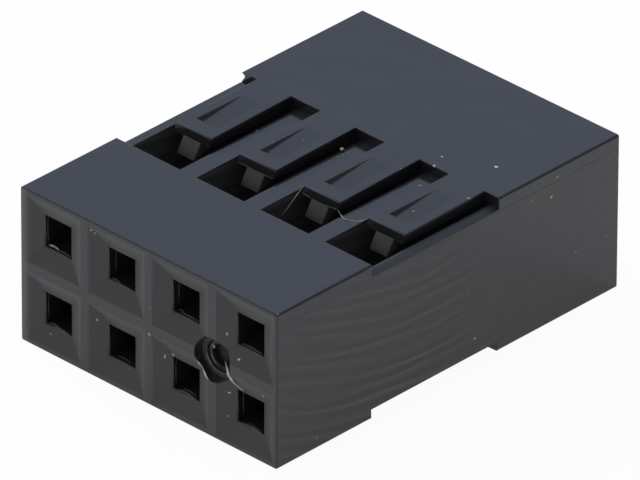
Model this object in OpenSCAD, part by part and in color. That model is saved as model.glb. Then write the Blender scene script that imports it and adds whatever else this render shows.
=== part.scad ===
// Dual-row crimp connector housing
// A one-piece black moulding that holds crimped socket terminals on a square grid.
// Terminals slide in from the wire end at +Y until they stop against the front wall.
// Header pins come in through the square holes of the mating face at -Y.
// A springy tongue over each cavity drops its hook behind the terminal and locks it.
// The origin is the centre of the underside, and all sizes are in millimetres.

/* [Housing] */
// Terminal columns side by side
columns = 4; // [2:1:10]
// Distance between neighbouring terminals, across and up
pitch = 2.54; // [2.4:0.01:3]
// Length from the mating face to the wire end
body_length = 14; // [12:0.1:18]
// Wall over a cavity, and half the rib between two cavities
outer_wall = 0.32; // [0.25:0.01:0.4]
// Wall that closes the front end of the cavities
front_wall = 0.95; // [0.7:0.05:1.5]

/* [Latch windows] */
// Length of the full-height block behind the mating face
front_block = 3.84; // [3:0.01:4.5]
// Length of the recessed band that holds the windows and tongues
window_length = 5.16; // [4.2:0.01:6]
// Length of a tongue from the wire-end block to its free end
tongue_length = 3.28; // [2.7:0.01:3.9]
// Slot between a tongue and the rib on each side of it
tongue_slot = 0.245; // [0.15:0.005:0.4]
// Depth of a tongue's free end below the outer face
tongue_drop = 0.05; // [0.01:0.01:0.12]
// Forward lean of a tongue's end face
tip_lean = 0.06; // [0.02:0.01:0.12]

/* [Latch hooks] */
// Width of the hook under a tongue
hook_width = 0.7; // [0.4:0.01:1]
// Reach of the hook into the cavity
hook_reach = 0.48; // [0.3:0.01:0.7]
// Forward lean of the hook's locking face
hook_lean = 0.3; // [0.1:0.01:0.4]
// Flat along the hook's lower edge
hook_flat = 0.14; // [0.05:0.01:0.3]
// Length of the ramp that an entering terminal lifts
hook_ramp = 1.1; // [0.6:0.05:1.6]

/* [Tongue relief] */
// Width of the sloping relief in a tongue's outer face
relief_width = 0.7; // [0.4:0.01:1]
// Depth of the relief at its front end
relief_depth = 0.13; // [0.05:0.01:0.16]
// Distance from a tongue's free end back to the relief
relief_setback = 0.53; // [0.3:0.01:0.7]
// Length over which the relief runs out
relief_length = 1.85; // [1:0.05:2]

/* [Mating face] */
// Side of a square pin hole
pin_hole = 1.02; // [0.8:0.01:1.3]
// Ridge left between the funnels of two neighbouring holes
face_ridge = 0.32; // [0.1:0.01:0.6]
// Depth of the funnel in front of a pin hole
funnel_depth = 0.25; // [0.1:0.01:0.4]

/* [Wire end] */
// Widening of a cavity's mouth on each side
mouth_bevel = 0.1; // [0.05:0.01:0.2]
// Length of the widened mouth
mouth_depth = 0.2; // [0.1:0.05:0.5]

/* [Gate mark] */
// Radius of the round gate recess at the mating face
gate_radius = 0.71; // [0.64:0.01:0.9]
// Depth of the shelf inside the rim
gate_shelf_depth = 0.33; // [0.2:0.01:0.36]
// Radius of the ring step inside the shelf
gate_ring_radius = 0.52; // [0.44:0.01:0.56]
// Depth of the ring step
gate_ring_depth = 0.39; // [0.37:0.01:0.42]
// Radius of the pit where the runner broke off
gate_pit_radius = 0.34; // [0.2:0.01:0.4]
// Depth of the pit
gate_pit_depth = 0.56; // [0.44:0.01:0.62]
// Radial run of each sloping wall of the gate recess
gate_wall_run = 0.02; // [0.01:0.005:0.03]

/* [Parting line] */
// Distance of the parting line from the floor of the latch band
parting_gap = 0.11; // [0.08:0.01:0.3]
// Width of the shallow groove along the parting line
parting_width = 0.07; // [0.04:0.01:0.12]
// Depth of the groove
parting_depth = 0.015; // [0.01:0.005:0.03]
// Distance from each end of the housing to the groove
parting_stop = 0.1; // [0.05:0.05:0.5]

/* [Corner chip] */
// Radius of the chip broken from a corner of the wire-end block
chip_radius = 0.12; // [0.05:0.01:0.13]
// Depth of the chip's centre below the outer face
chip_depth = 0.16; // [0.15:0.01:0.17]

/* [Hidden] */
$fn = 48;
rows = 2;
plastic = "#26272b";
// How far cuts run past a face, and joined forms run into each other
over = 0.1;
body_width = columns * pitch;
body_height = rows * pitch;
cavity = pitch - 2 * outer_wall;
tongue_width = cavity - 2 * tongue_slot;
tip_reach = tongue_length + tip_lean;
mating_y = -body_length / 2;
wire_y = body_length / 2;
window_front = mating_y + front_block;
window_rear = window_front + window_length;
parting_z = body_height - outer_wall - parting_gap;
// The gate lies where the ridges cross beside the last column
gate_x = (columns / 2 - 1) * pitch;
column_places = [for (i = [0 : columns - 1]) (i - (columns - 1) / 2) * pitch];
row_places = [for (i = [0 : rows - 1]) (i + 0.5) * pitch];

// Extrudes a side profile, drawn as y across and z up, evenly about the plane x = 0
module side_profile(points, width) {
    rotate([90, 0, 90])
        linear_extrude(width, center = true)
            polygon(points);
}

// Square opening that narrows from its mouth at y = 0 to its throat as it runs in along +Y
module square_funnel(mouth, throat, depth) {
    taper = (mouth - throat) / 2 / depth;
    outer_half = mouth / 2 + taper * over;
    inner_half = throat / 2;
    outline = [
        [-outer_half, -over],
        [outer_half, -over],
        [inner_half, depth],
        [-inner_half, depth]
    ];
    intersection() {
        linear_extrude(2 * outer_half, center = true)
            polygon(outline);
        rotate([0, 90, 0])
            linear_extrude(2 * outer_half, center = true)
                polygon(outline);
    }
}

// Repeats a child on every terminal axis of one row
module each_column() {
    for (x = column_places)
        translate([x, 0, 0])
            children();
}

// Repeats a child on every terminal axis of the housing
module each_cell() {
    for (z = row_places)
        translate([0, 0, z])
            each_column()
                children();
}

// Repeats a child on the upper side and, turned over, on the underside
module both_sides() {
    children();
    translate([0, 0, body_height])
        mirror([0, 0, 1])
            children();
}

// Terminal cavity, with its widened mouth at the wire end
module cavity_cut() {
    translate([-cavity / 2, mating_y + front_wall, -cavity / 2])
        cube([cavity, body_length, cavity]);
    translate([0, wire_y, 0])
        rotate([0, 0, 180])
            square_funnel(cavity + 2 * mouth_bevel, cavity, mouth_depth);
}

// Pin hole through the front wall, with its funnel in the mating face
module pin_cut() {
    translate([0, mating_y, 0])
        square_funnel(pitch - face_ridge, pin_hole, funnel_depth);
    translate([-pin_hole / 2, mating_y, -pin_hole / 2])
        cube([pin_hole, front_wall + over, pin_hole]);
}

// Band across one side, as deep as the outer wall, with a window down into each cavity
module latch_band_cut() {
    translate([-body_width / 2 - over, window_front, body_height - outer_wall])
        cube([body_width + 2 * over, window_length, outer_wall + over]);
    each_column()
        translate([-cavity / 2, window_front, body_height - outer_wall - over])
            cube([cavity, window_length, outer_wall]);
}

// Springy tongue, drawn from its root at y = 0 with the outer face at z = 0
module latch_tongue() {
    beam = [
        [over, 0],
        [0, 0],
        [-tongue_length, -tongue_drop],
        [-tip_reach, -outer_wall],
        [over, -outer_wall]
    ];
    hook_edge = -tip_reach - hook_lean;
    hook_top = -outer_wall + over;
    hook = [
        [-tip_reach + over, hook_top],
        [-tip_reach, -outer_wall],
        [hook_edge, -outer_wall - hook_reach],
        [hook_edge + hook_flat, -outer_wall - hook_reach],
        [hook_edge + hook_flat + hook_ramp, -outer_wall],
        [hook_edge + hook_flat + hook_ramp, hook_top]
    ];
    relief_front = -tongue_length + relief_setback;
    relief_rear = relief_front + relief_length;
    slope = tongue_drop / tongue_length;
    relief = [
        [relief_front, slope * relief_front - relief_depth],
        [relief_rear, slope * relief_rear],
        [relief_rear, over],
        [relief_front, over]
    ];
    difference() {
        union() {
            side_profile(beam, tongue_width);
            side_profile(hook, hook_width);
        }
        side_profile(relief, relief_width);
    }
}

// Stepped round recess left in the mating face by the moulding gate
module gate_cut() {
    steps = [
        [0, -over],
        [gate_radius, -over],
        [gate_radius, 0],
        [gate_radius - 2 * gate_wall_run, gate_shelf_depth],
        [gate_ring_radius, gate_shelf_depth],
        [gate_ring_radius - gate_wall_run, gate_ring_depth],
        [gate_pit_radius, gate_ring_depth],
        [gate_pit_radius - gate_wall_run, gate_pit_depth],
        [0, gate_pit_depth]
    ];
    translate([gate_x, mating_y, body_height / 2])
        rotate([-90, 0, 0])
            rotate_extrude()
                polygon(steps);
}

// Shallow groove along each side, where the two halves of the mould met
module parting_cut() {
    groove = [
        [-parting_depth, 0],
        [0, -parting_width / 2],
        [parting_depth, 0],
        [0, parting_width / 2]
    ];
    for (side = [-1, 1])
        translate([side * body_width / 2, 0, parting_z])
            rotate([90, 0, 0])
                linear_extrude(body_length - 2 * parting_stop, center = true)
                    polygon(groove);
}

// Chip in the corner where the recessed band meets the wire-end block
module chip_cut() {
    translate([-body_width / 2, window_rear, body_height - chip_depth])
        sphere(chip_radius);
}

// The moulding: a block with its cavities, windows and mating face cut, and tongues standing in the windows
module housing() {
    color(plastic)
        union() {
            difference() {
                translate([-body_width / 2, mating_y, 0])
                    cube([body_width, body_length, body_height]);
                each_cell()
                    cavity_cut();
                each_cell()
                    pin_cut();
                both_sides()
                    latch_band_cut();
                gate_cut();
                parting_cut();
                chip_cut();
            }
            both_sides()
                each_column()
                    translate([0, window_rear, body_height])
                        latch_tongue();
        }
}

housing();
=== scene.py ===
# Dual-row crimp connector housing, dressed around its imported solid.
# Lengths in the sections below are millimetres in the frame of the part, unless a name says otherwise.
import math

import bmesh
import bpy
import numpy as np
from mathutils import Matrix, Vector
from mathutils.bvhtree import BVHTree


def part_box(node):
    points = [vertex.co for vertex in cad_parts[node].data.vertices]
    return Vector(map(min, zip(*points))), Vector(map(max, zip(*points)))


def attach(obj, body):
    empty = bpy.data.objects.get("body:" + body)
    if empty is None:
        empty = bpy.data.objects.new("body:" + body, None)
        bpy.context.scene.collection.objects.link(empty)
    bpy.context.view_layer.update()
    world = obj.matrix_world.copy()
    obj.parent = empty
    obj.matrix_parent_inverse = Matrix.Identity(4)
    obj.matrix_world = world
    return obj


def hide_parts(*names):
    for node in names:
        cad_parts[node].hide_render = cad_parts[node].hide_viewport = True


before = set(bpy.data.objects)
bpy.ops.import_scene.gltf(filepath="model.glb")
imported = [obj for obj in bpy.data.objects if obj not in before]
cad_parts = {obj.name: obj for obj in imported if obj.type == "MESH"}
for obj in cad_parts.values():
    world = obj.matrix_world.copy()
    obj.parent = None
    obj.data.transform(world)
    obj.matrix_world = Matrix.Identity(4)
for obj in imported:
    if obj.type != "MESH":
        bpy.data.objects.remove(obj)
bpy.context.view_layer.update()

# Moulding
# One black glass-filled PBT piece, injection moulded in a single shot: body, cavities, tongues and hooks.
# The mould leaves small radii on its edges and a draft on the reliefs in the tongues. One outer rib is worn
# lower along its edge. A merged copy of the solid gets all of these and stands for it.
MM = 0.001
PITCH = 2.54
# Lengths that count as nothing: between two edges, between a corner and its place, and between doubles
NEAR, CORNER_NEAR, MERGED_NEAR = 0.004, 0.01, 0.0001
LONG_EDGE_RADIUS = 0.09
END_EDGE_RADIUS = 0.06
RIM_RADIUS = 0.05
RIDGE_RADIUS = 0.05
THROAT_RADIUS = 0.05
MOUTH_RADIUS = 0.05
STEP_RADIUS = 0.025
RIB_RADIUS = 0.04
OUTER_RIB_RADIUS = 0.015
TONGUE_RADIUS = 0.04
TIP_RADIUS = 0.05
HOOK_RADIUS = 0.03
ROUNDING_STEPS = 3
ROUNDED_FROM_DEGREES = 15.0
LONG_RUN = 1.0
RIM_WIDTH = 0.16
FUNNEL_DEPTH = 0.25
BAND_FRONT, BAND_REAR, BAND_DEPTH = -3.16, 2.0, 0.32
RIB_LEVEL, OUTER_RIB_FROM = 4.76, 4.6
WORN_RIB_START, WORN_RIB_DROP = 4.87, 0.05
TONGUE_HALF, TONGUE_DROP = 0.705, 0.05
TIP_EDGE, TIP_REAR, TIP_FRONT = -1.28, -1.27, -1.70
HOOK_HALF = 0.35
RELIEF_FRONT, RELIEF_REAR = -0.75, 1.1
RELIEF_DRAFT, RELIEF_SLOPE = 0.06, 0.07
GATE_CENTRE = np.array([2.54, 2.54])
GATE_REACH, GATE_REAR = 0.76, -6.4
GROOVE_LEVEL, GROOVE_REACH, GROOVE_NEAR = 4.65, 0.045, 0.002
CHIP_CENTRE = np.array([-5.08, 2.0, 4.92])
CHIP_REACH = 0.2
FLAT_WITHIN_DEGREES, MEETS_WITHIN_DEGREES = 0.5, 50.0
# Cosines between a normal and an axis that tell a flat, a wall of the gate and a wall of a relief
FLAT_COSINE, GATE_WALL_COSINE, RELIEF_WALL_COSINE = 0.99, 0.3, 0.5


def edge_table(mesh):
    """Gives each edge's two ends in mm, the angle between its two faces in degrees, and if it is convex.
    The angle is the arc cosine of the dot product of the two normals. The edge is convex where the second
    face, followed inward from the edge (its normal crossed with the edge), falls below the plane of the
    first."""
    points = np.empty(len(mesh.vertices) * 3)
    mesh.vertices.foreach_get("co", points)
    points = points.reshape(-1, 3) / MM
    ends = np.empty(len(mesh.edges) * 2, int)
    mesh.edges.foreach_get("vertices", ends)
    loop_edges, loop_points = np.empty((2, len(mesh.loops)), int)
    mesh.loops.foreach_get("edge_index", loop_edges)
    mesh.loops.foreach_get("vertex_index", loop_points)
    starts, counts = np.empty((2, len(mesh.polygons)), int)
    mesh.polygons.foreach_get("loop_start", starts)
    mesh.polygons.foreach_get("loop_total", counts)
    normals = np.empty(len(mesh.polygons) * 3)
    mesh.polygons.foreach_get("normal", normals)
    normals = normals.reshape(-1, 3)
    following = np.arange(len(loop_points)) + 1
    following[starts + counts - 1] = starts
    along = points[loop_points[following]] - points[loop_points]
    faces = np.repeat(np.arange(len(counts)), counts)
    first, second = np.argsort(loop_edges, kind="stable").reshape(-1, 2).T
    cosines = np.einsum("ij,ij->i", normals[faces[first]], normals[faces[second]])
    inward = np.cross(normals[faces[second]], along[second])
    convex = np.einsum("ij,ij->i", inward, normals[faces[first]]) < 0
    return points[ends.reshape(-1, 2)], np.degrees(np.arccos(cosines.clip(-1, 1))), convex


def edge_radii(ends, angles, convex, low, high):
    """Chooses the radius in mm of each moulded edge from where it lies, and zero for an edge left sharp.
    Later lines override earlier ones. Depth is measured from the nearer of the upper and lower faces."""
    middle = ends.mean(1)
    x, y, z = middle.T
    runs_along = abs(ends[:, 1, 1] - ends[:, 0, 1]) > LONG_RUN
    on_box = (abs(middle - low) < NEAR) | (abs(middle - high) < NEAR)
    depth = np.minimum(z - low[2], high[2] - z)
    off_column = abs((x / PITCH) % 1 - 0.5) * PITCH
    radii = np.zeros(len(middle))
    rim = np.minimum(high[0] - abs(x), depth) < RIM_WIDTH + NEAR
    radii[y < low[1] + NEAR] = RIDGE_RADIUS
    radii[(y < low[1] + NEAR) & rim] = RIM_RADIUS
    radii[abs(y - low[1] - FUNNEL_DEPTH) < NEAR] = THROAT_RADIUS
    radii[y > high[1] - NEAR] = MOUTH_RADIUS
    in_band = (y > BAND_FRONT - NEAR) & (y < BAND_REAR + NEAR) & (depth < BAND_DEPTH + WORN_RIB_DROP + NEAR)
    radii[in_band] = RIB_RADIUS
    radii[in_band & on_box[:, 0]] = OUTER_RIB_RADIUS
    band_end = (abs(y - BAND_FRONT) < NEAR) | (abs(y - BAND_REAR) < NEAR)
    radii[band_end & (depth < BAND_DEPTH - NEAR)] = STEP_RADIUS
    tongue = in_band & (off_column < TONGUE_HALF + NEAR) & (y > TIP_FRONT)
    radii[tongue] = np.where((depth < TONGUE_DROP) & runs_along, TONGUE_RADIUS, 0)[tongue]
    radii[tongue & (depth < TONGUE_DROP + NEAR) & (abs(y - TIP_EDGE) < NEAR)] = TIP_RADIUS
    under_tip = (y < TIP_REAR) & (y > TIP_FRONT) & (depth > BAND_DEPTH + NEAR)
    radii[under_tip & (off_column < HOOK_HALF + NEAR)] = HOOK_RADIUS
    outer = on_box.sum(1) >= 2
    radii[outer] = np.where(runs_along, LONG_EDGE_RADIUS, END_EDGE_RADIUS)[outer]
    by_relief = (y > RELIEF_FRONT - NEAR) & (y < RELIEF_REAR + NEAR)
    radii[by_relief & (off_column < HOOK_HALF + RELIEF_DRAFT + NEAR)] = 0
    by_gate = np.linalg.norm(ends[:, :, [0, 2]] - GATE_CENTRE, axis=2).min(1) < GATE_REACH
    radii[by_gate & (y < GATE_REAR)] = 0
    radii[(abs(z - GROOVE_LEVEL) < GROOVE_REACH) & (abs(x) > high[0] - GROOVE_REACH)] = 0
    by_chip = np.linalg.norm(ends - CHIP_CENTRE, axis=2).min(1) < CHIP_REACH
    radii[by_chip] = np.where(runs_along, STEP_RADIUS, 0)[by_chip]
    radii[(angles < ROUNDED_FROM_DEGREES) | ~convex] = 0
    return radii


def moulded_normals(mesh, low, high):
    """Gives the normal that the light sees at each corner of each face.
    A flat face keeps its own normal up to its edges. A rounded edge, told by its material index, takes the
    normal of the flat face that it meets at that corner, or else the mean of the rounded faces there. The
    curved walls of the gate and the chip take the mean of the walls at that corner, and the groove's rims
    blend into the sides. The lower corners of a relief's walls lean halfway towards its sloping floor, as a
    soft foot does."""
    corners = np.empty(len(mesh.loops), int)
    mesh.loops.foreach_get("vertex_index", corners)
    counts, round_edge = np.empty((2, len(mesh.polygons)), int)
    mesh.polygons.foreach_get("loop_total", counts)
    mesh.polygons.foreach_get("material_index", round_edge)
    areas = np.empty(len(mesh.polygons))
    mesh.polygons.foreach_get("area", areas)
    normals, middles = np.empty((2, len(mesh.polygons) * 3))
    mesh.polygons.foreach_get("normal", normals)
    mesh.polygons.foreach_get("center", middles)
    normals, middles = normals.reshape(-1, 3), middles.reshape(-1, 3) / MM
    round_edge = round_edge == 1
    from_gate = np.linalg.norm(middles[:, [0, 2]] - GATE_CENTRE, axis=1)
    in_gate = (from_gate < GATE_REACH) & (middles[:, 1] < GATE_REAR) & (abs(normals[:, 1]) < GATE_WALL_COSINE)
    in_chip = np.linalg.norm(middles - CHIP_CENTRE, axis=1) < CHIP_REACH
    in_chip &= abs(normals).max(1) < FLAT_COSINE
    curved = ~round_edge & (in_gate | in_chip)
    flat = ~round_edge & ~curved
    faces = np.repeat(np.arange(len(counts)), counts)
    seen = normals[faces].copy()
    for kind in (round_edge, curved):
        members = kind[faces]
        total = np.zeros((len(mesh.vertices), 3))
        np.add.at(total, corners[members], (areas[:, None] * normals)[faces[members]])
        seen[members] = total[corners[members]]
    by_vertex = np.argsort(corners, kind="stable")
    neighbours = np.bincount(corners)
    first = np.cumsum(neighbours) - neighbours
    strip = np.nonzero(round_edge[faces])[0]
    closest = np.full(len(strip), math.cos(math.radians(MEETS_WITHIN_DEGREES)))
    for turn in range(neighbours.max()):
        held = turn < neighbours[corners[strip]]
        other = faces[by_vertex[np.where(held, first[corners[strip]] + turn, 0)]]
        match = np.einsum("ij,ij->i", normals[faces[strip]], normals[other])
        closer = held & flat[other] & (match > closest)
        seen[strip[closer]] = normals[other[closer]]
        closest[closer] = match[closer]
    points = np.empty(len(mesh.vertices) * 3)
    mesh.vertices.foreach_get("co", points)
    x, y, z = points.reshape(-1, 3)[corners].T / MM
    groove_rim = (abs(middles[faces, 2] - GROOVE_LEVEL) < GROOVE_REACH) & (abs(x) > high[0] - GROOVE_NEAR)
    groove_rim &= abs(z - GROOVE_LEVEL) < GROOVE_REACH
    seen[groove_rim] = np.stack([np.sign(x), 0 * x, 0 * x], 1)[groove_rim]
    from_column = abs((middles[:, 0] / PITCH) % 1 - 0.5) * PITCH
    relief_wall = (abs(from_column - HOOK_HALF) < RELIEF_DRAFT) & (abs(normals[:, 0]) > RELIEF_WALL_COSINE)
    relief_wall &= (middles[:, 1] > RELIEF_FRONT) & (middles[:, 1] < RELIEF_REAR)
    depth = np.minimum(z - low[2], high[2] - z)
    foot = relief_wall[faces] & (depth > 2 * TONGUE_DROP) & (depth < BAND_DEPTH - TONGUE_DROP)
    seen[foot] += np.stack([0 * z, 0 * z - RELIEF_SLOPE, np.sign(z - PITCH)], 1)[foot]
    return seen / np.linalg.norm(seen, axis=1)[:, None]


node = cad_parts["housing"]
low, high = (np.array(corner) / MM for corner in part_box("housing"))
shell = node.data.copy()
shell.name = "housing_moulding"
solid = bmesh.new()
solid.from_mesh(shell)
bmesh.ops.remove_doubles(solid, verts=solid.verts, dist=MERGED_NEAR * MM)
flat_angle = math.radians(FLAT_WITHIN_DEGREES)
bmesh.ops.dissolve_limit(solid, angle_limit=flat_angle, verts=solid.verts, edges=solid.edges)
skin = BVHTree.FromBMesh(solid)

# The top of the last upper rib is split along its length, and its outer edge comes down where it is worn.
# The front corners of the reliefs move apart by their draft.
worn_rib = [
    face for face in solid.faces
    if face.normal.z > FLAT_COSINE and face.calc_center_median().x > OUTER_RIB_FROM * MM
    and abs(face.calc_center_median().z - RIB_LEVEL * MM) < CORNER_NEAR * MM
]
worn_parts = set(worn_rib).union(*(list(face.edges) + list(face.verts) for face in worn_rib))
bmesh.ops.bisect_plane(
    solid, geom=list(worn_parts), plane_co=(WORN_RIB_START * MM, 0, 0), plane_no=(1, 0, 0))
solid.to_mesh(shell)
solid.free()
shell.update()
points = np.empty(len(shell.vertices) * 3)
shell.vertices.foreach_get("co", points)
points = points.reshape(-1, 3) / MM
from_column = ((points[:, 0] / PITCH) % 1 - 0.5) * PITCH
relief_corner = np.minimum(points[:, 2] - low[2], high[2] - points[:, 2]) < TONGUE_DROP
relief_corner &= abs(points[:, 1] - RELIEF_FRONT) < CORNER_NEAR
relief_corner &= abs(abs(from_column) - HOOK_HALF) < CORNER_NEAR
points[relief_corner, 0] += RELIEF_DRAFT * np.sign(from_column[relief_corner])
worn = (points[:, 0] > high[0] - CORNER_NEAR) & (abs(points[:, 2] - RIB_LEVEL) < CORNER_NEAR)
points[worn, 2] -= WORN_RIB_DROP
shell.vertices.foreach_set("co", (points * MM).ravel())
shell.update()

# Each edge has its radius as a share of the largest one. The rounded strips get material index 1 while their
# normals are worked out, and the plastic's own index afterwards.
radii = edge_radii(*edge_table(shell), low, high)
weights = shell.attributes.new("bevel_weight_edge", "FLOAT", "EDGE")
weights.data.foreach_set("value", (radii / LONG_EDGE_RADIUS).astype(np.float32))
shell.polygons.foreach_set("use_smooth", np.ones(len(shell.polygons), bool))
shell.polygons.foreach_set("material_index", np.zeros(len(shell.polygons), int))
shell.materials.clear()
shell.materials.append(None)
shell.materials.append(None)
housing = bpy.data.objects.new("housing_moulding", shell)
bpy.context.scene.collection.objects.link(housing)
rounding = housing.modifiers.new("moulded_radii", "BEVEL")
rounding.limit_method = "WEIGHT"
rounding.offset_type = "OFFSET"
rounding.width = LONG_EDGE_RADIUS * MM
rounding.segments = ROUNDING_STEPS
rounding.use_clamp_overlap = False
rounding.material = 1
rounded = bpy.data.meshes.new_from_object(housing.evaluated_get(bpy.context.evaluated_depsgraph_get()))
rounded.name = "housing_moulding"
housing.modifiers.remove(rounding)
housing.data = rounded
rounded.normals_split_custom_set(moulded_normals(rounded, low, high).tolist())
rounded.polygons.foreach_set("material_index", np.zeros(len(rounded.polygons), int))
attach(housing, "root")
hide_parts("housing")


def linear(hex_colour):
    """Turns an sRGB hex colour into the linear colour that the shaders take."""
    srgb = np.array([int(hex_colour[i:i + 2], 16) for i in (1, 3, 5)]) / 255
    rgb = np.where(srgb <= 0.04045, srgb / 12.92, ((srgb + 0.055) / 1.055) ** 2.4)
    return (*rgb.tolist(), 1.0)


def add_node(tree, kind, inputs=None, **settings):
    """Adds a node with its settings. An input is linked where a socket is given, and set where a value is."""
    made = tree.nodes.new(kind)
    for name, value in settings.items():
        setattr(made, name, value)
    for key, value in (inputs or {}).items():
        if isinstance(value, bpy.types.NodeSocket):
            tree.links.new(value, made.inputs[key])
        else:
            made.inputs[key].default_value = value
    return made


# Black PBT copies the mould steel: a glossy skin with a fine grain and a slow unevenness from shrinkage.
# The sides carry the arcs of the cutter that milled that part of the mould, fading towards the wire end.
# The mating face, the hooks and the cavities were formed by spark-eroded inserts and core pins. They are
# duller, and the cavities are painted paler, a painted light that lifts their dark insides. The torn gate
# recess is dull and grey, and its deep pit is darker still, partly from torn dullness and partly as painted
# shade. The worn rib is scuffed, and the left rim of the mating face carries a painted sheen, a painted
# highlight along it.
PLASTIC_IOR = 1.54
SKIN_COLOUR, CAVITY_PAINTED_LIGHT_COLOUR, TORN_COLOUR, HOOK_COLOUR = "#222224", "#444446", "#5e5d5a", "#232225"
SKIN_ROUGHNESS, MILLED_ROUGHNESS = 0.13, 0.2
FULL_LUSTRE, SPENT_LUSTRE, PAINTED_SHEEN_LUSTRE = 0.5, 0.2, 0.4
# The real grain is finer, and it is drawn this coarse so that it shows.
GRAIN_SIZE, GRAIN_HEIGHT = 0.1, 0.001
SWELL_SIZE, SWELL_HEIGHT = 1.3, 0.012
CUTTER_CENTRE = (0.0, -0.1, 17.5)
CUTTER_STEP, STREAK_DEGREES, STREAK_HEIGHT = 0.43, 10.0, 0.03
CUTTER_FADE, CUTTER_LEFT = (-2.5, 2.5), 0.1
PATCH_STEPS = 1.25
SIDE_COSINE, FRONT_COSINE = 0.95, -0.5
FUNNEL_THROAT = -6.7
HOOK_SPAN, HOOK_LEVELS = (-1.72, -1.345), (1.65, 2.21)
GATE_FLOOR_REACH, GATE_FLOOR_SPAN = 0.675, (-6.72, -6.64)
GATE_PIT_REACH, GATE_PIT_SPAN = 0.53, (-6.64, -6.4)
CAVITY_FROM, CAVITY_FRONT = 0.317, -6.06
SCUFF_FROM, SCUFF_LEVELS = 4.80, (4.70, 4.78)
PAINTED_SHEEN_SPAN = (-4.90, -4.74)
# Further than any value of a zone reaches
FAR = 20.0
# At this scale the wave texture has one band for each unit of length.
WAVE_SCALE = 2 * math.pi / 20
plastic = bpy.data.materials.new("black_pbt_as_moulded")
plastic.use_nodes = True
tree = plastic.node_tree
shader = tree.nodes["Principled BSDF"]
shader.inputs["IOR"].default_value = PLASTIC_IOR
spot = add_node(tree, "ShaderNodeTexCoord").outputs["Object"]
in_mm = add_node(tree, "ShaderNodeVectorMath", {0: spot, "Scale": 1 / MM}, operation="SCALE").outputs[0]
across, along, up = add_node(tree, "ShaderNodeSeparateXYZ", {0: in_mm}).outputs
normal = add_node(tree, "ShaderNodeNewGeometry").outputs["True Normal"]
facing_across, facing_along = add_node(tree, "ShaderNodeSeparateXYZ", {0: normal}).outputs[:2]
grain = add_node(tree, "ShaderNodeTexNoise", {"Vector": in_mm, "Scale": 1 / GRAIN_SIZE, "Detail": 2.0})
swell = add_node(tree, "ShaderNodeTexNoise", {"Vector": in_mm, "Scale": 1 / SWELL_SIZE, "Detail": 1.0})

# The cutter's passes are rings round an axis across the part. A wave is drawn on the number of the pass and
# the angle along it, so that each pass breaks up into streaks.
from_cutter = add_node(tree, "ShaderNodeVectorMath", {0: in_mm, 1: CUTTER_CENTRE}, operation="SUBTRACT")
split = add_node(tree, "ShaderNodeSeparateXYZ", {0: from_cutter.outputs[0]})
in_plane = add_node(tree, "ShaderNodeCombineXYZ", {1: split.outputs["Y"], 2: split.outputs["Z"]})
reach = add_node(tree, "ShaderNodeVectorMath", {0: in_plane.outputs[0]}, operation="LENGTH")
below = add_node(tree, "ShaderNodeMath", {0: split.outputs["Z"], 1: -1.0}, operation="MULTIPLY")
swing = add_node(tree, "ShaderNodeMath", {0: split.outputs["Y"], 1: below.outputs[0]}, operation="ARCTAN2")
pass_number = add_node(tree, "ShaderNodeMath", {
    0: reach.outputs["Value"], 1: CUTTER_STEP,
}, operation="DIVIDE")
pass_along = add_node(tree, "ShaderNodeMath", {
    0: swing.outputs[0], 1: math.radians(STREAK_DEGREES),
}, operation="DIVIDE")
pass_place = add_node(tree, "ShaderNodeCombineXYZ", {
    0: pass_number.outputs[0], 1: pass_along.outputs[0],
}).outputs[0]
passes = add_node(tree, "ShaderNodeTexWave", {
    "Vector": pass_place, "Scale": WAVE_SCALE, "Distortion": 3.5, "Detail": 1.0, "Detail Scale": 2.5,
})
patches = add_node(tree, "ShaderNodeTexNoise", {
    "Vector": pass_place, "Scale": 1 / PATCH_STEPS, "Detail": 1.5,
})
streaks = add_node(tree, "ShaderNodeMath", {
    0: passes.outputs["Fac"], 1: patches.outputs["Fac"],
}, operation="MULTIPLY")
sideways = add_node(tree, "ShaderNodeMath", {0: facing_across}, operation="ABSOLUTE")
on_side = add_node(tree, "ShaderNodeMath", {0: sideways.outputs[0], 1: SIDE_COSINE}, operation="GREATER_THAN")
fading = add_node(tree, "ShaderNodeMapRange", {
    "Value": along, "From Min": CUTTER_FADE[0], "From Max": CUTTER_FADE[1],
    "To Min": 1.0, "To Max": CUTTER_LEFT,
}, interpolation_type="SMOOTHSTEP")
milled = add_node(tree, "ShaderNodeMath", {0: on_side.outputs[0], 1: fading.outputs[0]}, operation="MULTIPLY")
rough = add_node(tree, "ShaderNodeMapRange", {
    "Value": milled.outputs[0], "To Min": SKIN_ROUGHNESS, "To Max": MILLED_ROUGHNESS,
}).outputs[0]

# Each zone of the skin is where all its values lie between two ends. It adds to the roughness and takes a
# share of the lustre. The hooks stand inside the cavities and are a little less rough than they are.
from_middle = add_node(tree, "ShaderNodeMath", {0: up, 1: PITCH}, operation="SUBTRACT").outputs[0]
from_middle = add_node(tree, "ShaderNodeMath", {0: from_middle}, operation="ABSOLUTE").outputs[0]
across_and_up = add_node(tree, "ShaderNodeCombineXYZ", {0: across, 2: up})
from_gate = add_node(tree, "ShaderNodeVectorMath", {
    0: across_and_up.outputs[0], 1: (GATE_CENTRE[0], 0, GATE_CENTRE[1]),
}, operation="DISTANCE").outputs["Value"]
across_cell = add_node(tree, "ShaderNodeMath", {0: across, 1: PITCH / 2}, operation="PINGPONG").outputs[0]
up_cell = add_node(tree, "ShaderNodeMath", {0: up, 1: PITCH / 2}, operation="PINGPONG").outputs[0]
faces_front = (facing_along, -FAR, FRONT_COSINE)
zones, spent = {}, 0.0
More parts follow.
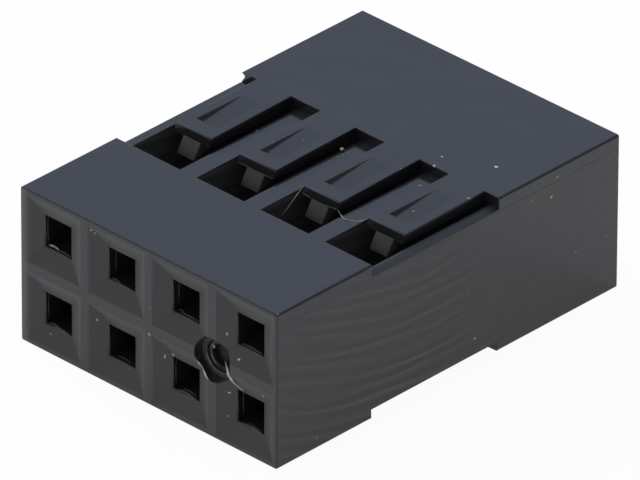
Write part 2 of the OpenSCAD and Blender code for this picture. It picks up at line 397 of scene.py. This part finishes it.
for zone, added_roughness, lost_lustre, limits in (
    ("mating_face", 0.22, 0.0, (faces_front, (along, -FAR, FUNNEL_THROAT))),
    ("gate_floor", 0.2, 0.0, (faces_front, (from_gate, -FAR, GATE_FLOOR_REACH), (along, *GATE_FLOOR_SPAN))),
    # The gate pit's lost lustre is partly the dullness of torn plastic and partly painted shade deep in the
    # recess.
    ("gate_pit", 0.3, 1.0, ((from_gate, -FAR, GATE_PIT_REACH), (along, *GATE_PIT_SPAN))),
    ("cavity", 0.3, 0.0, (
        (across_cell, CAVITY_FROM, FAR), (up_cell, CAVITY_FROM, FAR), (along, CAVITY_FRONT, FAR),
    )),
    ("hook", -0.1, 0.25, (faces_front, (along, *HOOK_SPAN), (from_middle, *HOOK_LEVELS))),
    ("worn_rib", 0.25, 0.4, ((across, SCUFF_FROM, FAR), (up, *SCUFF_LEVELS), (along, BAND_FRONT, BAND_REAR))),
):
    share = 1.0
    for value, start, stop in limits:
        within = add_node(tree, "ShaderNodeMath", {
            0: value, 1: (start + stop) / 2, 2: (stop - start) / 2,
        }, operation="COMPARE")
        share = add_node(tree, "ShaderNodeMath", {
            0: within.outputs[0], 1: share,
        }, operation="MULTIPLY").outputs[0]
    zones[zone] = share
    rough = add_node(tree, "ShaderNodeMath", {
        0: share, 1: added_roughness, 2: rough,
    }, operation="MULTIPLY_ADD").outputs[0]
    spent = add_node(tree, "ShaderNodeMath", {
        0: share, 1: lost_lustre, 2: spent,
    }, operation="MULTIPLY_ADD").outputs[0]
lustre = add_node(tree, "ShaderNodeMapRange", {"Value": spent, "To Min": FULL_LUSTRE, "To Max": SPENT_LUSTRE})
# A painted sheen: the specular level rises towards the left rim of the mating face, a painted highlight along
# it.
painted_rim_sheen = add_node(tree, "ShaderNodeMapRange", {
    "Value": across, "From Min": PAINTED_SHEEN_SPAN[0], "From Max": PAINTED_SHEEN_SPAN[1],
    "To Min": PAINTED_SHEEN_LUSTRE, "To Max": 0.0,
})
lustre = add_node(tree, "ShaderNodeMath", {
    0: painted_rim_sheen.outputs[0], 1: zones["mating_face"], 2: lustre.outputs[0],
}, operation="MULTIPLY_ADD")
tree.links.new(lustre.outputs[0], shader.inputs["Specular IOR Level"])

# The dust section lays its flat specks over this colour and roughness, and links them to the shader.
torn = add_node(tree, "ShaderNodeMath", {
    0: zones["gate_floor"], 1: grain.outputs["Fac"],
}, operation="MULTIPLY")
skin_colour = linear(SKIN_COLOUR)
# The paler cavity colour is painted light that lifts the dark insides of the cavities.
for share, colour in (
    (zones["cavity"], CAVITY_PAINTED_LIGHT_COLOUR), (torn.outputs[0], TORN_COLOUR), (zones["hook"], HOOK_COLOUR),
):
    skin_colour = add_node(tree, "ShaderNodeMix", {
        "Factor": share, "A": skin_colour, "B": linear(colour),
    }, data_type="RGBA").outputs["Result"]
swell_bump = add_node(tree, "ShaderNodeBump", {
    "Height": swell.outputs["Fac"], "Distance": SWELL_HEIGHT * MM, "Strength": 1.0,
})
streak_bump = add_node(tree, "ShaderNodeBump", {
    "Height": streaks.outputs[0], "Distance": STREAK_HEIGHT * MM, "Strength": milled.outputs[0],
    "Normal": swell_bump.outputs[0],
})
grain_bump = add_node(tree, "ShaderNodeBump", {
    "Height": grain.outputs["Fac"], "Distance": GRAIN_HEIGHT * MM, "Strength": 1.0,
    "Normal": streak_bump.outputs[0],
})
tree.links.new(grain_bump.outputs[0], shader.inputs["Normal"])
rounded.materials.clear()
rounded.materials.append(plastic)

# Pin-hole flash
# Thin ragged skins of plastic on the walls of the holes, left where the mould's core pins met the front wall.
# Each is part of the same shot and stands on its wall. The lower ones are listed by column, row, two ends
# across the hole, place along the part and radius, and the left ones by column, row and place.
HOLE_HALF = 0.51
FIRST_COLUMN, FIRST_ROW = -1.5, 0.5
BOTTOM_FLASH = (
    (0, 1, -0.10, 0.44, -6.66, 0.030), (1, 1, -0.46, -0.10, -6.68, 0.025),
    (2, 1, -0.45, -0.20, -6.58, 0.040), (2, 1, -0.30, 0.46, -6.66, 0.025), (3, 1, -0.45, 0.40, -6.66, 0.030),
    (0, 0, -0.45, 0.05, -6.66, 0.035), (0, 0, -0.20, 0.46, -6.72, 0.035), (1, 0, -0.30, 0.25, -6.60, 0.020),
    (2, 0, -0.30, 0.30, -6.58, 0.030), (2, 0, -0.35, 0.40, -6.70, 0.035), (3, 0, -0.25, 0.35, -6.66, 0.035),
    (3, 0, -0.38, 0.42, -6.73, 0.030),
)
BEND_SHARE, BEND_IN, BEND_OUT = 0.4, 0.03, 0.02
LEFT_FLASH = ((0, 1, -6.63), (1, 1, -6.45), (0, 0, -6.62), (2, 0, -6.63), (3, 0, -6.5), (2, 1, -6.5))
LEFT_FLASH_HALF, LEFT_FLASH_RADIUS = 0.46, 0.012
POLE_NEAR = 0.00001
# A direction that no bead runs along, from which the circles of a bead are turned
TUBE_TILT = np.array([0.48, -0.6, 0.64])


def swept_bead(points, radius, samples=20, sides=6):
    """Sweeps a circle along a smooth curve through the given points, thinning to nothing at both ends.
    The curve is the cubic that passes each point with half the step between its neighbours as its slope, and
    the radius follows the square root of the sine of the share of the curve that has been passed."""
    points = np.array(points, float)
    share = np.linspace(0, 1, samples)
    step = share * (len(points) - 1)
    leg = np.minimum(step.astype(int), len(points) - 2)
    passed = (step - leg)[:, None]
    before, here, there = points[np.maximum(leg - 1, 0)], points[leg], points[leg + 1]
    beyond = points[np.minimum(leg + 2, len(points) - 1)]
    cubic = 3 * (here - there) + beyond - before
    square = 2 * before - 5 * here + 4 * there - beyond
    curve = here + 0.5 * passed * (there - before + passed * (square + passed * cubic))
    ahead = np.gradient(curve, axis=0)
    ahead /= np.linalg.norm(ahead, axis=1)[:, None]
    aside = np.cross(TUBE_TILT, ahead)
    aside /= np.linalg.norm(aside, axis=1)[:, None]
    upward = np.cross(ahead, aside)
    turn = np.arange(sides) * 2 * np.pi / sides
    thick = radius * np.sqrt(np.sin(np.pi * share).clip(0))[:, None, None]
    ring = np.cos(turn)[None, :, None] * aside[:, None] + np.sin(turn)[None, :, None] * upward[:, None]
    return curve[:, None] + thick * ring


def place_piece(name, grids, material):
    """Joins grids of points into one mesh whose columns close on themselves, and lets it ride on the housing.
    A row that shrinks to one point is merged, so that each grid is a closed skin, and nothing passes the box
    of the housing."""
    points, quads, count = [], [], 0
    for grid in grids:
        rows, columns = grid.shape[:2]
        first = np.arange((rows - 1) * columns).reshape(rows - 1, columns) + count
        following = np.roll(first, -1, axis=1)
        quads.append(np.stack([first, following, following + columns, first + columns], -1).reshape(-1, 4))
        points.append(grid.reshape(-1, 3).clip(low, high))
        count += rows * columns
    mesh = bpy.data.meshes.new(name)
    mesh.from_pydata((np.concatenate(points) * MM).tolist(), [], np.concatenate(quads).tolist())
    merged = bmesh.new()
    merged.from_mesh(mesh)
    bmesh.ops.remove_doubles(merged, verts=merged.verts, dist=POLE_NEAR * MM)
    merged.to_mesh(mesh)
    merged.free()
    mesh.polygons.foreach_set("use_smooth", np.ones(len(mesh.polygons), bool))
    mesh.materials.append(material)
    piece = bpy.data.objects.new(name, mesh)
    bpy.context.scene.collection.objects.link(piece)
    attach(piece, "root")


# Flash is the same PBT, but so thin that it lets some light through: uneven brownish grey, with a soft gloss.
FLASH_COLOUR, THIN_COLOUR = "#1a1a1a", "#4a4843"
FLASH_ROUGHNESS = 0.3
THIN_SIZE = 0.2
NOISE_LOW, NOISE_HIGH = 0.35, 0.65
flash_plastic = bpy.data.materials.new("thin_pbt_flash")
flash_plastic.use_nodes = True
tree = flash_plastic.node_tree
shader = tree.nodes["Principled BSDF"]
shader.inputs["Roughness"].default_value = FLASH_ROUGHNESS
shader.inputs["IOR"].default_value = PLASTIC_IOR
spot = add_node(tree, "ShaderNodeTexCoord").outputs["Object"]
thin = add_node(tree, "ShaderNodeTexNoise", {"Vector": spot, "Scale": 1 / (THIN_SIZE * MM), "Detail": 2.0})
thin_share = add_node(tree, "ShaderNodeMapRange", {
    "Value": thin.outputs["Fac"], "From Min": NOISE_LOW, "From Max": NOISE_HIGH,
})
thinned = add_node(tree, "ShaderNodeMix", {
    "Factor": thin_share.outputs[0], "A": linear(FLASH_COLOUR), "B": linear(THIN_COLOUR),
}, data_type="RGBA")
tree.links.new(thinned.outputs["Result"], shader.inputs["Base Color"])

beads = []
for column, row, start, stop, y, radius in BOTTOM_FLASH:
    x, z = (FIRST_COLUMN + column) * PITCH, (FIRST_ROW + row) * PITCH - HOLE_HALF
    bend = (1 - BEND_SHARE) * start + BEND_SHARE * stop
    beads.append(swept_bead([
        (x + start, y, z), (x + bend, y + BEND_IN, z), (x + stop, y - BEND_OUT, z),
    ], radius))
for column, row, y in LEFT_FLASH:
    x, z = (FIRST_COLUMN + column) * PITCH - HOLE_HALF, (FIRST_ROW + row) * PITCH
    beads.append(swept_bead([
        (x, y, z - LEFT_FLASH_HALF), (x, y - BEND_OUT, z), (x, y, z + LEFT_FLASH_HALF),
    ], LEFT_FLASH_RADIUS))
place_piece("pin_hole_flash", beads, flash_plastic)

# Tongue-tip flash
# Paper-thin fins of the same plastic along the lower edges of two tongue tips, where two mould inserts met.
# They grew out of the tips with the rest of the shot and were never trimmed. Each is listed by three points
# and a radius.
TIP_FINS = (
    ((-1.99, -1.335, 4.765), (-1.3, -1.345, 4.76), (-0.55, -1.335, 4.765), 0.016),
    ((0.56, -1.33, 4.80), (0.75, -1.335, 4.78), (0.92, -1.34, 4.765), 0.018),
    ((1.50, -1.34, 4.765), (1.72, -1.335, 4.79), (1.98, -1.33, 4.81), 0.018),
)
fins = [swept_bead(points, radius) for *points, radius in TIP_FINS]
place_piece("tongue_tip_flash", fins, flash_plastic)

# Torn plastic
# The lip that tore when the runner was broken off at the gate, the rings left by the gate's sleeve inside the
# recess, and a torn lump in the first pin hole, all of the housing's own plastic. A ring is listed by its
# radius, its place along the part, the degrees where it starts and stops, and the radius of its bead.
LIP_RADIUS, LIP_START, LIP_STOP, LIP_POINTS, LIP_BEAD = 0.715, 205, 262, 7, 0.03
TORN_RINGS = ((0.53, -6.672, 185, 290, 0.009), (0.425, -6.612, 120, 255, 0.008))
DARK_RINGS = ((0.668, -6.672, 95, 275, 0.012), (0.525, -6.672, 80, 190, 0.016))
RING_POINTS, RING_SAMPLES = 13, 40
TORN_LUMP, TORN_LUMP_RADIUS = ((-4.30, -6.63, 3.30), (-4.12, -6.59, 3.30), (-3.90, -6.63, 3.30)), 0.04
BEFORE_LIP = -8.0


def ring_arc(radius, y, start, stop, count):
    """Points on a circle round the gate's axis, between two angles in degrees, counted from +X to +Z."""
    angle = np.radians(np.linspace(start, stop, count))
    x, z = GATE_CENTRE[:, None] + radius * np.stack([np.cos(angle), np.sin(angle)])
    return np.stack([x, np.full(count, y), z], 1)


# Torn PBT is whitened by stress: chalky and almost without gloss, in patches from grey to off-white.
BLUSH_DARK, BLUSH_PALE = "#7c7973", "#d2cec4"
BLUSH_ROUGHNESS = 0.45
BLUSH_SIZE = 0.25
whitened = bpy.data.materials.new("stress_whitened_pbt")
whitened.use_nodes = True
tree = whitened.node_tree
shader = tree.nodes["Principled BSDF"]
shader.inputs["Roughness"].default_value = BLUSH_ROUGHNESS
shader.inputs["IOR"].default_value = PLASTIC_IOR
spot = add_node(tree, "ShaderNodeTexCoord").outputs["Object"]
blush = add_node(tree, "ShaderNodeTexNoise", {"Vector": spot, "Scale": 1 / (BLUSH_SIZE * MM), "Detail": 2.0})
blush_share = add_node(tree, "ShaderNodeMapRange", {
    "Value": blush.outputs["Fac"], "From Min": NOISE_LOW, "From Max": NOISE_HIGH,
})
blushed = add_node(tree, "ShaderNodeMix", {
    "Factor": blush_share.outputs[0], "A": linear(BLUSH_DARK), "B": linear(BLUSH_PALE),
}, data_type="RGBA")
tree.links.new(blushed.outputs["Result"], shader.inputs["Base Color"])

lip = ring_arc(LIP_RADIUS, 0, LIP_START, LIP_STOP, LIP_POINTS)
lip[:, 1] = [skin.ray_cast(Vector((x, BEFORE_LIP, z)) * MM, (0, 1, 0))[0].y / MM for x, y, z in lip]
torn_rings, dark_rings = (
    [swept_bead(ring_arc(*arc, RING_POINTS), radius, RING_SAMPLES) for *arc, radius in rings]
    for rings in (TORN_RINGS, DARK_RINGS)
)
lump = swept_bead(TORN_LUMP, TORN_LUMP_RADIUS)
place_piece("torn_plastic", [swept_bead(lip, LIP_BEAD), *torn_rings, lump], whitened)
place_piece("gate_rings", dark_rings, flash_plastic)

# Lint
# Fine cotton and paper fibres that settled on the plastic and cling to it at both ends.
# Each is listed by its radius, the number of circles along it and the points that it passes.
FIBRES = (
    (0.01, 16, (0.575, -1.29, 5.025), (0.45, -1.60, 4.61), (0.325, -1.90, 4.19)),
    (0.01, 30, (1.97, -1.335, 4.80), (2.20, -1.43, 4.76), (2.446, -1.51, 4.775), (2.766, -1.355, 4.78),
     (3.10, -1.29, 4.98)),
    (0.042, 40, (2.498, -6.445, 2.285), (2.72, -6.61, 2.305), (2.91, -6.755, 2.30), (3.12, -6.925, 2.30),
     (3.22, -6.955, 2.25), (3.30, -6.92, 2.13), (3.38, -6.85, 2.01), (3.565, -6.79, 1.88)),
    (0.02, 16, (-4.69, -6.87, 1.69), (-4.55, -6.81, 1.65), (-4.38, -6.76, 1.60)),
    (0.05, 10, (-0.35, 1.14, 4.79), (-0.31, 1.18, 4.82), (-0.27, 1.22, 4.79)),
)

# Cotton is matt and off-white. Its grey patches, at random along each fibre, are painted shade where a fibre
# twists.
LINT_DARK, LINT_PALE = "#76716a", "#e6e2da"
LINT_ROUGHNESS, LINT_IOR = 0.9, 1.5
TWIST_SHADE_SIZE = 0.12
lint = bpy.data.materials.new("cotton_lint")
lint.use_nodes = True
tree = lint.node_tree
shader = tree.nodes["Principled BSDF"]
shader.inputs["Roughness"].default_value = LINT_ROUGHNESS
shader.inputs["IOR"].default_value = LINT_IOR
spot = add_node(tree, "ShaderNodeTexCoord").outputs["Object"]
painted_twist_shade = add_node(tree, "ShaderNodeTexNoise", {"Vector": spot, "Scale": 1 / (TWIST_SHADE_SIZE * MM), "Detail": 1.0})
shaded_lint = add_node(tree, "ShaderNodeMix", {
    "Factor": painted_twist_shade.outputs["Fac"], "A": linear(LINT_DARK), "B": linear(LINT_PALE),
}, data_type="RGBA")
tree.links.new(shaded_lint.outputs["Result"], shader.inputs["Base Color"])
place_piece("lint", [swept_bead(points, radius, samples) for radius, samples, *points in FIBRES], lint)

# Dust
# Specks of pale house dust that lie on the plastic, a few hundredths of a millimetre high, each a flattened
# lump pressed a little into the face that carries it. They are listed by their place seen from above or from
# the front, length, width and turn in degrees, and the flat ones by their place, size and paleness.
TOP_DUST = (
    (-0.16, 0.86, 0.07, 0.05, 30), (-0.16, 1.06, 0.08, 0.05, 60), (-0.10, 1.24, 0.06, 0.05, 0),
    (-2.84, 0.30, 0.07, 0.05, 0), (-1.96, 0.48, 0.05, 0.04, 0), (-1.69, -0.21, 0.05, 0.04, 0),
    (-1.22, 0.54, 0.05, 0.04, 0), (2.63, 1.32, 0.16, 0.06, 20), (3.72, -0.08, 0.08, 0.07, 0),
    (4.46, 1.40, 0.11, 0.08, 40), (1.94, 1.25, 0.05, 0.04, 0),
)
FRONT_DUST = (
    (-2.27, 4.78, 0.11, 0.09, 0), (-2.17, 4.70, 0.09, 0.07, 40), (-2.12, 1.86, 0.11, 0.09, 0),
    (0.53, 1.75, 0.19, 0.07, 85), (0.82, 1.92, 0.13, 0.11, 20), (3.01, 3.55, 0.13, 0.10, 70),
    (3.51, 2.94, 0.15, 0.09, 40), (3.07, 1.64, 0.14, 0.08, 20), (3.04, 0.86, 0.08, 0.07, 0),
    (2.23, 2.71, 0.17, 0.10, 120), (4.44, 2.12, 0.16, 0.06, 140), (-4.04, 0.55, 0.08, 0.07, 0),
)
FLAT_DUST = (
    (2.33, 2.54, 5.08, 0.045, 0.6), (3.82, 3.21, 5.08, 0.065, 0.7), (2.51, 2.03, 5.08, 0.05, 0.7),
    (5.03, -6.91, 5.08, 0.04, 0.4), (0.05, -7.0, 2.34, 0.05, 0.5), (0.10, -7.0, 3.25, 0.025, 0.3),
    (5.08, 1.06, 0.86, 0.055, 0.55), (5.08, 4.41, 4.77, 0.04, 0.45), (5.08, 3.38, 4.43, 0.04, 0.3),
    (5.08, 4.17, 4.21, 0.055, 0.55), (5.08, 5.96, 2.92, 0.03, 0.15), (5.08, 6.48, 1.95, 0.04, 0.25),
    (5.08, 5.21, 1.94, 0.04, 0.4), (5.08, 6.49, 0.59, 0.025, 0.2), (5.08, -5.39, 0.38, 0.05, 0.3),
    (5.08, -1.72, 4.04, 0.03, 0.15), (5.08, 0.76, 2.41, 0.03, 0.2), (5.08, -6.93, 2.01, 0.025, 0.4),
)
ABOVE, IN_FRONT = 8.0, -9.0
DUST_SHARE, DUST_HEIGHT = 0.85, 0.3
LATITUDES, LONGITUDES = 6, 9
LUMP_SWELL, LUMP_WAVES = 0.2, 3
DUST_SEED = 7
chance = np.random.default_rng(DUST_SEED)


def dust_speck(origin, towards, across, length, width, degrees):
    """A lumpy flattened ball on the face that a line from the origin meets first.
    The ball is a grid of latitude and longitude, and its radius swells by up to a fifth in three waves."""
    foot, normal = skin.ray_cast(Vector(origin) * MM, Vector(towards))[:2]
    normal = np.array(normal)
    first = np.array(across) - np.dot(across, normal) * normal
    first /= np.linalg.norm(first)
    second = np.cross(normal, first)
    cosine, sine = math.cos(math.radians(degrees)), math.sin(math.radians(degrees))
    first, second = cosine * first + sine * second, cosine * second - sine * first
    rise = np.linspace(-np.pi / 2, np.pi / 2, LATITUDES)[:, None, None]
    turn = (np.arange(LONGITUDES) * 2 * np.pi / LONGITUDES)[None, :, None]
    lumps = 1 + LUMP_SWELL * np.sin(LUMP_WAVES * turn + chance.uniform(0, 2 * np.pi))
    flat = lumps * np.cos(rise) * (length * np.cos(turn) * first + width * np.sin(turn) * second) / 2
    return np.array(foot) / MM + DUST_SHARE * (flat + DUST_HEIGHT * width * np.sin(rise) * normal)


# House dust is quite matt and grey to cream, uneven where it clumps.
DUST_DARK, DUST_PALE = "#77746f", "#c4c1ba"
DUST_ROUGHNESS, DUST_IOR = 1.0, 1.5
CLUMP_SIZE = 0.08
dust = bpy.data.materials.new("house_dust")
dust.use_nodes = True
tree = dust.node_tree
shader = tree.nodes["Principled BSDF"]
shader.inputs["Roughness"].default_value = DUST_ROUGHNESS
shader.inputs["IOR"].default_value = DUST_IOR
spot = add_node(tree, "ShaderNodeTexCoord").outputs["Object"]
clumps = add_node(tree, "ShaderNodeTexNoise", {"Vector": spot, "Scale": 1 / (CLUMP_SIZE * MM), "Detail": 2.0})
greyed = add_node(tree, "ShaderNodeMix", {
    "Factor": clumps.outputs["Fac"], "A": linear(DUST_DARK), "B": linear(DUST_PALE),
}, data_type="RGBA")
tree.links.new(greyed.outputs["Result"], shader.inputs["Base Color"])
specks = [dust_speck((x, y, ABOVE), (0, 0, -1), (1, 0, 0), *size) for x, y, *size in TOP_DUST]
specks += [dust_speck((x, IN_FRONT, z), (0, 1, 0), (1, 0, 0), *size) for x, z, *size in FRONT_DUST]
place_piece("dust", specks, dust)

# On the outer faces the specks are pressed flat, so there they are a pale, matt part of the plastic's skin,
# with a ragged outline.
FLAT_DUST_COLOUR = "#dedad2"
FLAT_DUST_ROUGHNESS = 0.8
FLAT_DUST_CORE = 0.5
RAGGED_SIZE, RAGGED_REACH = 0.06, 0.08
NOISE_MIDDLE = 0.5
tree = plastic.node_tree
shader = tree.nodes["Principled BSDF"]
ragged = add_node(tree, "ShaderNodeTexNoise", {"Vector": in_mm, "Scale": 1 / RAGGED_SIZE, "Detail": 1.0})
wobble = add_node(tree, "ShaderNodeVectorMath", {
    0: ragged.outputs["Color"], 1: [NOISE_MIDDLE] * 3,
}, operation="SUBTRACT")
wobbled = add_node(tree, "ShaderNodeVectorMath", {
    0: wobble.outputs[0], 1: [RAGGED_REACH] * 3, 2: in_mm,
}, operation="MULTIPLY_ADD")
dusty = 0.0
for *place, size, paleness in FLAT_DUST:
    gap = add_node(tree, "ShaderNodeVectorMath", {0: wobbled.outputs[0], 1: place}, operation="DISTANCE")
    cover = add_node(tree, "ShaderNodeMapRange", {
        "Value": gap.outputs["Value"], "From Min": FLAT_DUST_CORE * size, "From Max": size,
        "To Min": paleness, "To Max": 0.0,
    })
    dusty = add_node(tree, "ShaderNodeMath", {0: cover.outputs[0], 1: dusty}, operation="MAXIMUM").outputs[0]
dusted = add_node(tree, "ShaderNodeMix", {
    "Factor": dusty, "A": skin_colour, "B": linear(FLAT_DUST_COLOUR),
}, data_type="RGBA")
matt = add_node(tree, "ShaderNodeMath", {
    0: dusty, 1: FLAT_DUST_ROUGHNESS, 2: rough,
}, operation="MULTIPLY_ADD")
tree.links.new(dusted.outputs["Result"], shader.inputs["Base Color"])
tree.links.new(matt.outputs[0], shader.inputs["Roughness"])

# Floor
# A wide sheet of white paper under the part, as in a product studio. It keeps the part's soft shadow.
# White paper is matt. Here it is also lit from within for the camera, which makes the background white, and
# less so for the gloss of the plastic.
FLOOR_HALF_METRES = 2.0
PAPER_COLOUR = "#f3f3f3"
CAMERA_GLOW, MIRROR_GLOW = 0.95, 0.55
floor_corners = np.array([(-1, -1, 0), (1, -1, 0), (1, 1, 0), (-1, 1, 0)]) * FLOOR_HALF_METRES
floor_mesh = bpy.data.meshes.new("floor")
floor_mesh.from_pydata(floor_corners.tolist(), [], [(0, 1, 2, 3)])
floor = bpy.data.objects.new("floor", floor_mesh)
bpy.context.scene.collection.objects.link(floor)
paper = bpy.data.materials.new("white_paper")
paper.use_nodes = True
tree = paper.node_tree
tree.nodes.remove(tree.nodes["Principled BSDF"])
diffuse = add_node(tree, "ShaderNodeBsdfDiffuse", {"Color": linear(PAPER_COLOUR)})
path = add_node(tree, "ShaderNodeLightPath")
mirrored = add_node(tree, "ShaderNodeMath", {
    0: path.outputs["Is Glossy Ray"], 1: path.outputs["Is Transmission Ray"],
}, operation="MAXIMUM")
mirror_share = add_node(tree, "ShaderNodeMath", {
    0: mirrored.outputs[0], 1: MIRROR_GLOW,
}, operation="MULTIPLY")
glow_share = add_node(tree, "ShaderNodeMath", {
    0: path.outputs["Is Camera Ray"], 1: CAMERA_GLOW, 2: mirror_share.outputs[0],
}, operation="MULTIPLY_ADD")
glow = add_node(tree, "ShaderNodeEmission", {"Color": (1, 1, 1, 1), "Strength": 1.0})
mixed = add_node(tree, "ShaderNodeMixShader", {
    0: glow_share.outputs[0], 1: diffuse.outputs[0], 2: glow.outputs[0],
})
tree.links.new(mixed.outputs[0], tree.nodes["Material Output"].inputs["Surface"])
floor_mesh.materials.append(paper)

# Light
# A pale studio room, made as a world: grey walls in bands by height, dimmer on the right, and a cool patch
# where the top of the part mirrors it. A softbox stands at the left, and the plastic does not mirror it.
WALL_BANDS = ((0.0, 0.5), (0.2, 0.85), (0.42, 0.85), (0.56, 0.35), (0.72, 0.35), (0.88, 1.15), (1.0, 1.15))
DIM_SPAN, DIM_SIDE = (-0.1, 0.7), 0.4
COOL_SIDE, COOL_SPAN = (-0.596, 0.618, 0.512), (0.3, 0.9)
COOL_LIGHT = (0.54, 0.635, 0.83, 1)
SOFTBOX_METRES, SOFTBOX_WATTS = 0.5, 7.0
SOFTBOX_PLACE_METRES = (-0.85, 0.0, 0.42)
world = bpy.data.worlds.new("studio")
bpy.context.scene.world = world
world.use_nodes = True
tree = world.node_tree
background = tree.nodes["Background"]
direction = add_node(tree, "ShaderNodeTexCoord").outputs["Generated"]
split = add_node(tree, "ShaderNodeSeparateXYZ", {0: direction})
wall = add_node(tree, "ShaderNodeValToRGB", {"Fac": split.outputs["Z"]})
bands = wall.color_ramp.elements
for height, grey in WALL_BANDS[1:-1]:
    bands.new(height)
for band, (height, grey) in zip(bands, WALL_BANDS):
    band.position, band.color = height, (grey, grey, grey, 1)
dim = add_node(tree, "ShaderNodeMapRange", {
    "Value": split.outputs["X"], "From Min": DIM_SPAN[0], "From Max": DIM_SPAN[1],
    "To Min": 1.0, "To Max": DIM_SIDE,
}, interpolation_type="SMOOTHSTEP")
dimmed = add_node(tree, "ShaderNodeVectorMath", {
    0: wall.outputs[0], "Scale": dim.outputs[0],
}, operation="SCALE")
towards_cool = add_node(tree, "ShaderNodeVectorMath", {0: direction, 1: COOL_SIDE}, operation="DOT_PRODUCT")
cool = add_node(tree, "ShaderNodeMapRange", {
    "Value": towards_cool.outputs["Value"], "From Min": COOL_SPAN[0], "From Max": COOL_SPAN[1],
}, interpolation_type="SMOOTHSTEP")
sky = add_node(tree, "ShaderNodeMix", {
    "Factor": cool.outputs[0], "A": dimmed.outputs[0], "B": COOL_LIGHT,
}, data_type="RGBA")
tree.links.new(sky.outputs["Result"], background.inputs["Color"])
background.inputs["Strength"].default_value = 1.0
lamp = bpy.data.lights.new("softbox", "AREA")
lamp.shape = "SQUARE"
lamp.size = SOFTBOX_METRES
lamp.energy = SOFTBOX_WATTS
softbox = bpy.data.objects.new("softbox", lamp)
softbox.location = SOFTBOX_PLACE_METRES
softbox.rotation_euler = Vector(SOFTBOX_PLACE_METRES).to_track_quat("Z", "Y").to_euler()
softbox.visible_camera = False
softbox.visible_glossy = False
bpy.context.scene.collection.objects.link(softbox)

# Camera
# It stands where the photograph's camera stood, far off behind a long lens.
# The rows of its pose are world axes, and the last column is its place in metres.
FOCAL_PIXELS, IMAGE_WIDTH_PIXELS = 15021.7, 640
SENSOR_WIDTH = 36.0
CLIP_METRES = (0.01, 50.0)
CAMERA_POSE = (
    (0.7183465, -0.3583611, 0.5962848, 0.2550436),
    (0.6956756, 0.3654597, -0.6184454, -0.2645445),
    (0.0037087, 0.8590789, 0.5118298, 0.2213663),
    (0, 0, 0, 1),
)
camera_data = bpy.data.cameras.new("camera")
camera_data.sensor_width = SENSOR_WIDTH
camera_data.lens = SENSOR_WIDTH * FOCAL_PIXELS / IMAGE_WIDTH_PIXELS
camera_data.clip_start, camera_data.clip_end = CLIP_METRES
camera = bpy.data.objects.new("camera", camera_data)
camera.matrix_world = Matrix(CAMERA_POSE)
bpy.context.scene.collection.objects.link(camera)
bpy.context.scene.camera = camera
bpy.context.scene.view_settings.view_transform = "Standard"
